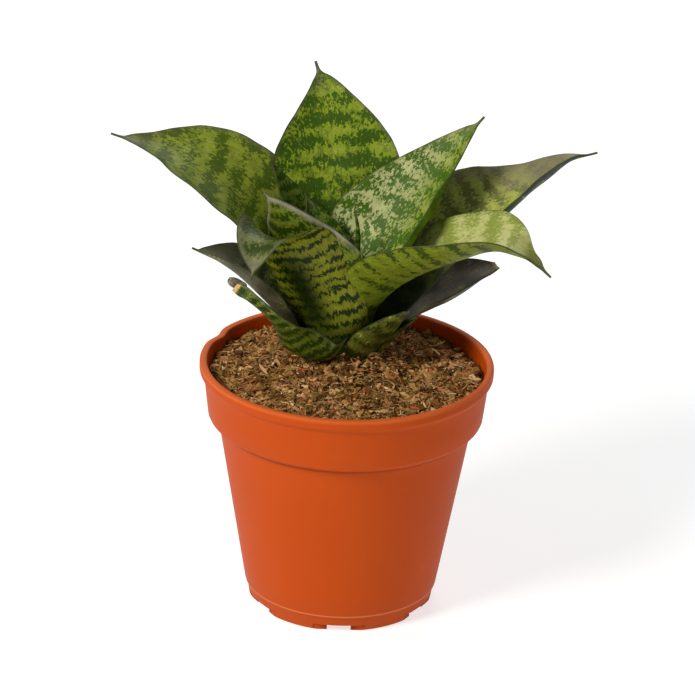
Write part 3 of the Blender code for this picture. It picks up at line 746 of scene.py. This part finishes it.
def pot_uneven(angle, z):
    """Moulded plastic is never quite round: slow ovalness and one pinched place at the back left."""
    oval = 0.0003 * math.cos(2 * angle + 0.6) * (z / RIM_Z)
    pinch = (math.degrees(angle) - 157.0 + 180.0) % 360.0 - 180.0
    return oval - 0.0016 * math.exp(-((pinch / 5.0) ** 2)) * max(0.0, (z - 0.070) / 0.0245)


def build_pot():
    verts, rings = [], []
    for radius, z in densify(pot_profile(), 0.006):
        spots = 1 if radius == 0.0 else POT_SEGMENTS
        rings.append(range(len(verts), len(verts) + spots))
        for k in range(spots):
            angle = 2 * math.pi * (k + 0.37) / POT_SEGMENTS
            r = radius + pot_uneven(angle, z) if radius else 0.0
            verts.append(Vector((AXIS.x + r * math.cos(angle), AXIS.y + r * math.sin(angle), FOOT_Z + z)))
    polygons = []
    for low, high in zip(rings, rings[1:]):
        for k in range(POT_SEGMENTS):
            m = (k + 1) % POT_SEGMENTS
            if len(low) == 1:
                polygons.append((low[0], high[m], high[k]))
            elif len(high) == 1:
                polygons.append((low[k], low[m], high[0]))
            else:
                polygons.append((low[k], low[m], high[m], high[k]))
    pot = mesh_piece("pot_shell", verts, polygons, "pot")
    for k in range(NOTCHES):
        turn = math.radians(-90 + 60 * k)
        cut_box(pot, turn, 0.0290, 0.0400, 0.0088, 0.0026)
        cut_box(pot, turn, 0.0327, 0.0400, 0.0192, 0.0025)
    for k in range(NOTCHES):
        cut_hole(pot, math.radians(-60 + 60 * k))
    pot.data.set_sharp_from_angle(angle=math.radians(32))
    pot.data.materials.append(pot_material())


def apply_cut(obj, cutter):
    """Cuts the cutter's shape away and removes the cutter."""
    modifier = obj.modifiers.new("cut", "BOOLEAN")
    modifier.object = cutter
    modifier.operation = "DIFFERENCE"
    modifier.solver = "EXACT"
    bpy.context.view_layer.update()
    evaluated = obj.evaluated_get(bpy.context.evaluated_depsgraph_get())
    mesh = bpy.data.meshes.new_from_object(evaluated)
    obj.modifiers.remove(modifier)
    obj.data = mesh
    bpy.data.objects.remove(cutter)


def cut_box(pot, turn, near, far, width, height):
    """A notch in the foot, from near to far off the pot's axis."""
    bm = bmesh.new()
    bmesh.ops.create_cube(bm, size=1.0)
    stretch = Matrix.Diagonal((far - near, width, height + 0.002, 1.0))
    place = Matrix.Translation((AXIS.x, AXIS.y, 0)) @ Matrix.Rotation(turn, 4, "Z")
    place = place @ Matrix.Translation(((near + far) / 2, 0, FOOT_Z + height / 2 - 0.001)) @ stretch
    bmesh.ops.transform(bm, matrix=place, verts=bm.verts)
    apply_cut(pot, loose_mesh("cutter", bm))


def cut_hole(pot, turn):
    """A round drain hole in the pot's floor."""
    bm = bmesh.new()
    bmesh.ops.create_cone(bm, cap_ends=True, segments=32, radius1=0.0035, radius2=0.0035, depth=0.007)
    centre = (AXIS.x + 0.0215 * math.cos(turn), AXIS.y + 0.0215 * math.sin(turn), FOOT_Z + 0.0045)
    bmesh.ops.translate(bm, vec=centre, verts=bm.verts)
    apply_cut(pot, loose_mesh("cutter", bm))


def loose_mesh(name, bm):
    mesh = bpy.data.meshes.new(name)
    bm.to_mesh(mesh)
    bm.free()
    return linked(name, mesh)


def pot_material():
    n = Nodes("pot_plastic")
    place = n.new("ShaderNodeTexCoord").outputs["Object"]
    x, y, z = n.new("ShaderNodeSeparateXYZ", {0: place}).outputs
    cloud = n.noise(place, scale=28.0, detail=3.0)
    fine = n.noise(place, scale=900.0, detail=2.0, rough=0.7)
    colour = n.mix(cloud, srgb(182, 67, 6), srgb(192, 76, 10))
    dust = n.step(n.noise(place, scale=120.0, detail=5.0, rough=0.7), 0.58, 0.80)
    colour = n.mix(n.mul(dust, 0.12), colour, srgb(176, 112, 70))
    low = n.step(z, 0.016, 0.002)
    colour = n.mix(n.mul(low, n.mul(cloud, 0.35)), colour, srgb(150, 78, 44))
    # Painted highlight: a thin light line round the pot just above the foot.
    foot_highlight = n.step(n.math("ABSOLUTE", n.sub(z, FOOT_HIGHLIGHT_Z)), 0.0005, 0.0001)
    colour = n.mix(n.mul(foot_highlight, 0.55), colour, srgb(230, 136, 84))
    # Painted shade: a dark line round the pot just under the collar.
    collar_shade = n.step(n.math("ABSOLUTE", n.sub(z, COLLAR_SHADE_Z)), 0.0012, 0.0002)
    colour = n.mix(n.mul(collar_shade, 0.55), colour, srgb(112, 34, 4))
    away = n.math("SQRT", n.add(n.mul(x, x), n.mul(y, y)))
    # Painted shade: the low faces of the foot inside the recess radius, in the notches and under the pot,
    # darkened.
    recess_shade = n.mul(n.step(z, 0.0026, 0.0021), n.step(away, RECESS_R, RECESS_R - 0.0006))
    colour = n.mix(n.mul(recess_shade, 0.55), colour, srgb(120, 40, 6))
    # Painted highlight: the top of the rim lightened, unevenly with the cloud noise.
    rim_highlight = n.step(z, RIM_HIGHLIGHT_Z, RIM_HIGHLIGHT_Z + 0.0017)
    colour = n.mix(n.mul(rim_highlight, n.add(0.25, n.mul(cloud, 0.5))), colour, srgb(226, 116, 60))
    n.surface("Base Color", colour)
    n.surface("Roughness", n.add(0.46, n.add(n.mul(cloud, 0.10), n.mul(fine, 0.08))))
    n.surface("Specular IOR Level", 0.10)
    waves = n.noise(place, scale=55.0, detail=2.0)
    height = n.add(n.mul(waves, 0.8), n.mul(fine, 0.06))
    n.surface("Normal", n.bump(height, 0.0007, 0.25))
    return n.material


# ---------------- soil

FLAKES = 6800
STRANDS = 2300
STICKS = 300
GRAINS = 150
SOIL_LEVEL = 0.0885
SOIL_FOOT = 0.0760
SOIL_R = RIM_R - 0.0034
SOIL_ROWS = 110
SOIL_AROUND = 300


def soil_height(x, y):
    """Low mound round the crown with a gentle fixed waviness, as the frame's soil."""
    away = math.hypot(x - CROWN.x, y - CROWN.y)
    mound = 0.0055 * math.exp(-((away / 0.030) ** 2))
    wave = 0.0006 * math.sin(170 * x + 0.8) * math.cos(150 * y) + 0.0004 * math.sin(310 * y + 240 * x)
    return SOIL_LEVEL + mound + wave * min(1.0, max(0.0, away - 0.018) / 0.01)


def rough_soil(x, y):
    """Crumbly surface height on top of the mound."""
    p = Vector((x * 1000, y * 1000, 0))
    crumbs = noise.noise(p / 3.2) * 0.0016 + noise.noise(p / 1.3 + Vector((9, 4, 2))) * 0.0008
    lumps = max(0.0, noise.noise(p / 7.0 + Vector((3, 8, 1)))) * 0.0022
    away = math.hypot(x - CROWN.x - 0.004, y - CROWN.y + 0.002)
    heaped = 0.0060 * math.exp(-((away / 0.017) ** 4))
    return soil_height(x, y) + crumbs + lumps + heaped - 0.0004


def build_soil():
    """Rough top in rings round the crown, a short skirt down the pot's wall, and a flat underside."""
    rows, around = SOIL_ROWS, SOIL_AROUND
    middle = Vector((CROWN.x, CROWN.y, 0))
    verts = [Vector((CROWN.x, CROWN.y, soil_height(CROWN.x, CROWN.y)))]
    for k in range(1, rows + 1):
        for j in range(around):
            angle = 2 * math.pi * j / around
            edge = Vector((AXIS.x + SOIL_R * math.cos(angle), AXIS.y + SOIL_R * math.sin(angle), 0))
            spot = middle.lerp(edge, k / rows)
            verts.append(Vector((spot.x, spot.y, rough_soil(spot.x, spot.y))))
    for v in verts[-around:]:
        verts.append(Vector((v.x * 0.985, v.y * 0.985, SOIL_FOOT)))
    verts.append(Vector((AXIS.x, AXIS.y, SOIL_FOOT)))
    polygons = []
    for j in range(around):
        m = (j + 1) % around
        polygons.append((0, 1 + j, 1 + m))
        for k in range(rows):
            a = 1 + k * around
            polygons.append((a + j, a + around + j, a + around + m, a + m))
        a = 1 + rows * around
        polygons.append((a + j, len(verts) - 1, a + m))
    soil = mesh_piece("soil_bed", verts, polygons, "soil")
    soil.data.materials.append(soil_material("soil_bed", False))


# Where each tone of the loose bits stands on the tone scale
SOIL_TONES = [
    (0.00, (46, 24, 6)), (0.22, (100, 62, 24)), (0.42, (156, 108, 54)), (0.60, (200, 150, 90)),
    (0.72, (116, 102, 42)), (0.80, (198, 150, 94)), (0.92, (228, 190, 136)), (0.985, (188, 96, 40)),
    (1.00, (236, 224, 204)),
]


def soil_material(name, loose):
    """Loose bits take their tone from the mesh; the bed under them is a dark crumbly mix."""
    n = Nodes(name)
    place = n.new("ShaderNodeTexCoord").outputs["Object"]
    if loose:
        ramp = n.new("ShaderNodeValToRGB")
        for k, (where, tone) in enumerate(SOIL_TONES):
            stop = ramp.color_ramp.elements[k] if k < 2 else ramp.color_ramp.elements.new(where)
            stop.position = where
            stop.color = (*srgb(*tone), 1.0)
        n.put(ramp.inputs[0], n.attribute("tone"))
        grain = n.noise(place, scale=1500.0, detail=3.0, rough=0.7)
        colour = n.scaled(ramp.outputs[0], n.add(0.55, n.mul(grain, 0.9)))
    else:
        big = n.noise(place, scale=160.0, detail=4.0, rough=0.65)
        small = n.noise(place, scale=1100.0, detail=4.0, rough=0.7)
        colour = n.mix(n.step(small, 0.35, 0.7), srgb(40, 22, 6), srgb(134, 90, 42))
        colour = n.mix(n.mul(n.step(big, 0.52, 0.66), 0.55), colour, srgb(64, 58, 24))
        grain = small
    n.surface("Base Color", colour)
    n.surface("Roughness", 0.92)
    n.surface("Specular IOR Level", 0.15)
    n.surface("Normal", n.bump(grain, 0.0006, 0.7))
    return n.material


class Crumbs:
    """Collects many small loose bits into one mesh with a tone for each bit."""

    def __init__(self):
        self.verts, self.faces, self.tones = [], [], []

    def add(self, verts, faces, tone):
        start = len(self.verts)
        self.verts.extend(verts)
        self.faces.extend(tuple(start + i for i in face) for face in faces)
        self.tones.extend([tone] * len(verts))

    def piece(self, name):
        mesh = bpy.data.meshes.new(name)
        mesh.from_pydata([tuple(v) for v in self.verts], [], self.faces)
        attach(mesh, "tone", self.tones)
        shown(name, mesh, "soil")
        mesh.materials.append(soil_material(name, True))


def soil_spot(rng, margin):
    """A random place on the soil that stays inside the pot's wall."""
    while True:
        reach = (SOIL_R - margin) * math.sqrt(rng.random())
        angle = rng.uniform(0, 2 * math.pi)
        x = AXIS.x + reach * math.cos(angle)
        y = AXIS.y + reach * math.sin(angle)
        if math.hypot(x - CROWN.x, y - CROWN.y) > 0.010:
            return x, y


def clump(x, y):
    """Slow change from dark moist patches to light dry ones, about -0.5 to 0.5."""
    return noise.noise(Vector((x * 150, y * 150, 4.0)))


def chip(rng, length, width, height):
    """A split flake of bark: an irregular six-sided slab."""
    around = 6
    top, low = [], []
    for j in range(around):
        angle = 2 * math.pi * (j + rng.uniform(-0.3, 0.3)) / around
        x = math.cos(angle) * length / 2 * rng.uniform(0.75, 1.1)
        y = math.sin(angle) * width / 2 * rng.uniform(0.7, 1.15)
        top.append(Vector((x, y, height / 2 * rng.uniform(0.5, 1.2))))
        low.append(Vector((x * 0.85, y * 0.85, -height / 2)))
    faces = [tuple(range(around)), tuple(range(2 * around - 1, around - 1, -1))]
    for j in range(around):
        m = (j + 1) % around
        faces.append((j, around + j, around + m, m))
    return top + low, faces


def fibre(rng, length, radius):
    """A thin bent four-sided strand with a pointed end."""
    steps = 7
    bend_y = rng.uniform(-0.35, 0.35) * length
    bend_z = rng.uniform(0.0, 0.22) * length
    kink = rng.uniform(-0.12, 0.12) * length
    verts = []
    for k in range(steps):
        t = k / (steps - 1) * 2 - 1
        centre = Vector((t * length / 2, bend_y * (1 - t * t) + kink * math.sin(t * 4), bend_z * (1 - t * t)))
        thin = radius * (1.0 - 0.65 * max(0.0, t) - 0.3 * max(0.0, -t))
        for j in range(4):
            angle = math.pi / 2 * j
            verts.append(centre + Vector((0, math.cos(angle) * thin, math.sin(angle) * thin)))
    start, end = flat_caps(steps, 4)
    return verts, tube_faces(steps, 4) + [start[::-1], end]


def place_bit(rng, verts, x, y, lift, tilt):
    """Turns a bit at random, leans it a little and sets it on the soil."""
    turn = Matrix.Rotation(rng.uniform(0, 2 * math.pi), 3, "Z")
    lean = Matrix.Rotation(rng.gauss(0, tilt), 3, "Y") @ Matrix.Rotation(rng.gauss(0, tilt), 3, "X")
    spot = Vector((x, y, rough_soil(x, y) + lift))
    return [spot + turn @ (lean @ v) for v in verts]


def inside_pot(verts):
    """Keeps a bit only where it clears the pot's wall."""
    limit = RIM_R - 0.0030
    return all(math.hypot(v.x - AXIS.x, v.y - AXIS.y) < limit for v in verts)


def flake(rng):
    length = rng.choice((rng.uniform(0.7, 1.6), rng.uniform(0.8, 2.2), rng.uniform(1.6, 4.2))) * MM
    return chip(rng, length, length * rng.uniform(0.35, 0.8), length * rng.uniform(0.15, 0.4))


def strand(rng):
    return fibre(rng, rng.uniform(1.6, 6.0) * MM, rng.uniform(0.07, 0.20) * MM)


def stick(rng):
    length = rng.uniform(3.0, 9.0) * MM
    width = rng.uniform(0.5, 1.2) * MM
    return chip(rng, length, width, width * 0.6)


def build_crumbs():
    rng = random.Random(7)
    scale = 1.0
    flakes, strands, sticks = Crumbs(), Crumbs(), Crumbs()
    for _ in range(int(FLAKES * scale)):
        x, y = soil_spot(rng, 0.001)
        verts, faces = flake(rng)
        verts = place_bit(rng, verts, x, y, 0.0002 * rng.random(), 0.45)
        tone = min(0.95, abs(rng.gauss(0.50 + clump(x, y) * 0.6, 0.24)))
        if inside_pot(verts):
            flakes.add(verts, faces, tone)
    for _ in range(int(STRANDS * scale)):
        x, y = soil_spot(rng, 0.002)
        verts, faces = strand(rng)
        verts = place_bit(rng, verts, x, y, 0.0003, 0.16)
        if inside_pot(verts):
            strands.add(verts, faces, min(0.96, abs(rng.gauss(0.70, 0.2))))
    for _ in range(int(STICKS * scale)):
        x, y = soil_spot(rng, 0.003)
        verts, faces = stick(rng)
        verts = place_bit(rng, verts, x, y, 0.0005, 0.18)
        tone = rng.choice((rng.uniform(0.66, 0.8), rng.uniform(0.88, 0.965), 0.985, rng.uniform(0.2, 0.5)))
        if inside_pot(verts):
            sticks.add(verts, faces, tone)
    for _ in range(int(GRAINS * scale)):
        x, y = soil_spot(rng, 0.002)
        verts, faces = chip(rng, 0.6 * MM, 0.5 * MM, 0.4 * MM)
        sticks.add(place_bit(rng, verts, x, y, 0.0006, 0.5), faces, 1.0)
    flakes.piece("soil_chips")
    strands.piece("soil_fibres")
    sticks.piece("soil_sticks")


# ---------------- crown


def build_crown():
    """Short lobed stem, narrower at its top."""
    verts = []
    rows, around = 24, 32
    height = CROWN_HIGH.z - CROWN_LOW.z
    radius = (CROWN_HIGH.x - CROWN_LOW.x) / 2
    for k in range(rows):
        part = k / (rows - 1)
        fall = 1.0 if part < 0.75 else 1.0 - 0.35 * ((part - 0.75) / 0.25) ** 2
        for j in range(around):
            angle = 2 * math.pi * j / around
            r = radius * fall * (1 - 0.05 * abs(math.sin(angle * 3 + part * 9)))
            verts.append(Vector((CROWN.x + r * math.cos(angle), CROWN.y + r * math.sin(angle),
                                 CROWN_LOW.z + height * part)))
    polygons = tube_faces(rows, around) + flat_caps(rows, around)
    crown = mesh_piece("crown_stem", verts, polygons, "crown")
    n = Nodes("crown_stem")
    place = n.new("ShaderNodeTexCoord").outputs["Object"]
    streak = n.noise(place, scale=700.0, detail=3.0)
    n.surface("Base Color", n.mix(streak, srgb(96, 112, 48), srgb(168, 170, 110)))
    n.surface("Roughness", n.add(0.45, n.mul(streak, 0.2)))
    crown.data.materials.append(n.material)


# ---------------- studio

DAYLIGHT = (1.0, 0.97, 0.92)
CAMERA_PITCH = math.radians(23.73)
CAMERA_ROLL = math.radians(1.77)
CAMERA_PLACE = Vector((AXIS.x + 0.00006, AXIS.y - 1.34623, FOOT_Z + 0.69151))
LENS_MM = 207.194


def build_stage():
    bm = bmesh.new()
    bmesh.ops.create_grid(bm, x_segments=2, y_segments=2, size=6.0)
    floor = loose_mesh("floor", bm)
    floor.location = (0, 0, FOOT_Z - 0.0002)
    n = Nodes("floor_paper")
    place = n.new("ShaderNodeTexCoord").outputs["Object"]
    cloud = n.noise(place, scale=2.0, detail=2.0)
    n.surface("Base Color", n.mix(cloud, (0.50, 0.50, 0.50), (0.53, 0.53, 0.53)))
    n.surface("Emission Color", (1.0, 1.0, 1.0))
    n.surface("Emission Strength", 0.68)
    n.surface("Roughness", 0.9)
    n.surface("Specular IOR Level", 0.1)
    floor.data.materials.append(n.material)


def area_light(name, place, target, width, power, colour):
    light = bpy.data.lights.new(name, "AREA")
    light.shape = "DISK"
    light.size = width
    light.energy = power
    light.color = colour
    obj = linked(name, light)
    obj.location = place
    obj.rotation_mode = "QUATERNION"
    obj.rotation_quaternion = (Vector(target) - Vector(place)).to_track_quat("-Z", "Y")


def build_lights():
    world = bpy.data.worlds.new("studio")
    world.use_nodes = True
    background = world.node_tree.nodes["Background"]
    background.inputs["Color"].default_value = (1.0, 1.0, 1.0, 1.0)
    background.inputs["Strength"].default_value = 0.20
    bpy.context.scene.world = world
    area_light("key", (-0.80, -0.70, 0.95), (0, 0, 0.08), 0.45, 15.2, DAYLIGHT)
    area_light("fill", (0.9, -0.8, 0.5), (0, 0, 0.08), 0.8, 0.8, DAYLIGHT)
    area_light("back", (0.1, 1.0, 0.9), (0, 0, 0.1), 0.6, 5.0, (1, 1, 1))


def build_camera():
    camera = linked("camera", bpy.data.cameras.new("camera"))
    ahead = Vector((0.0, math.cos(CAMERA_PITCH), -math.sin(CAMERA_PITCH)))
    level = Vector((0.0, math.sin(CAMERA_PITCH), math.cos(CAMERA_PITCH)))
    side = Vector((1, 0, 0))
    right = side * math.cos(CAMERA_ROLL) + level * math.sin(CAMERA_ROLL)
    up = side * -math.sin(CAMERA_ROLL) + level * math.cos(CAMERA_ROLL)
    turn = Matrix((right, up, -ahead)).transposed()
    camera.matrix_world = Matrix.Translation(CAMERA_PLACE) @ turn.to_4x4()
    camera.data.sensor_width = 36.0
    camera.data.lens = LENS_MM
    camera.data.clip_start = 0.05
    camera.data.clip_end = 30.0
    scene = bpy.context.scene
    scene.camera = camera
    scene.view_settings.view_transform = "Standard"
    scene.view_settings.look = "None"


def build_plant():
    for k, name in enumerate(LEAVES):
        leaf_piece(name, 1.7 + 2.3 * k)
    spike_piece()
    curl_piece()


build_pot()
build_soil()
build_crumbs()
build_crown()
build_plant()
build_stage()
build_lights()
build_camera()
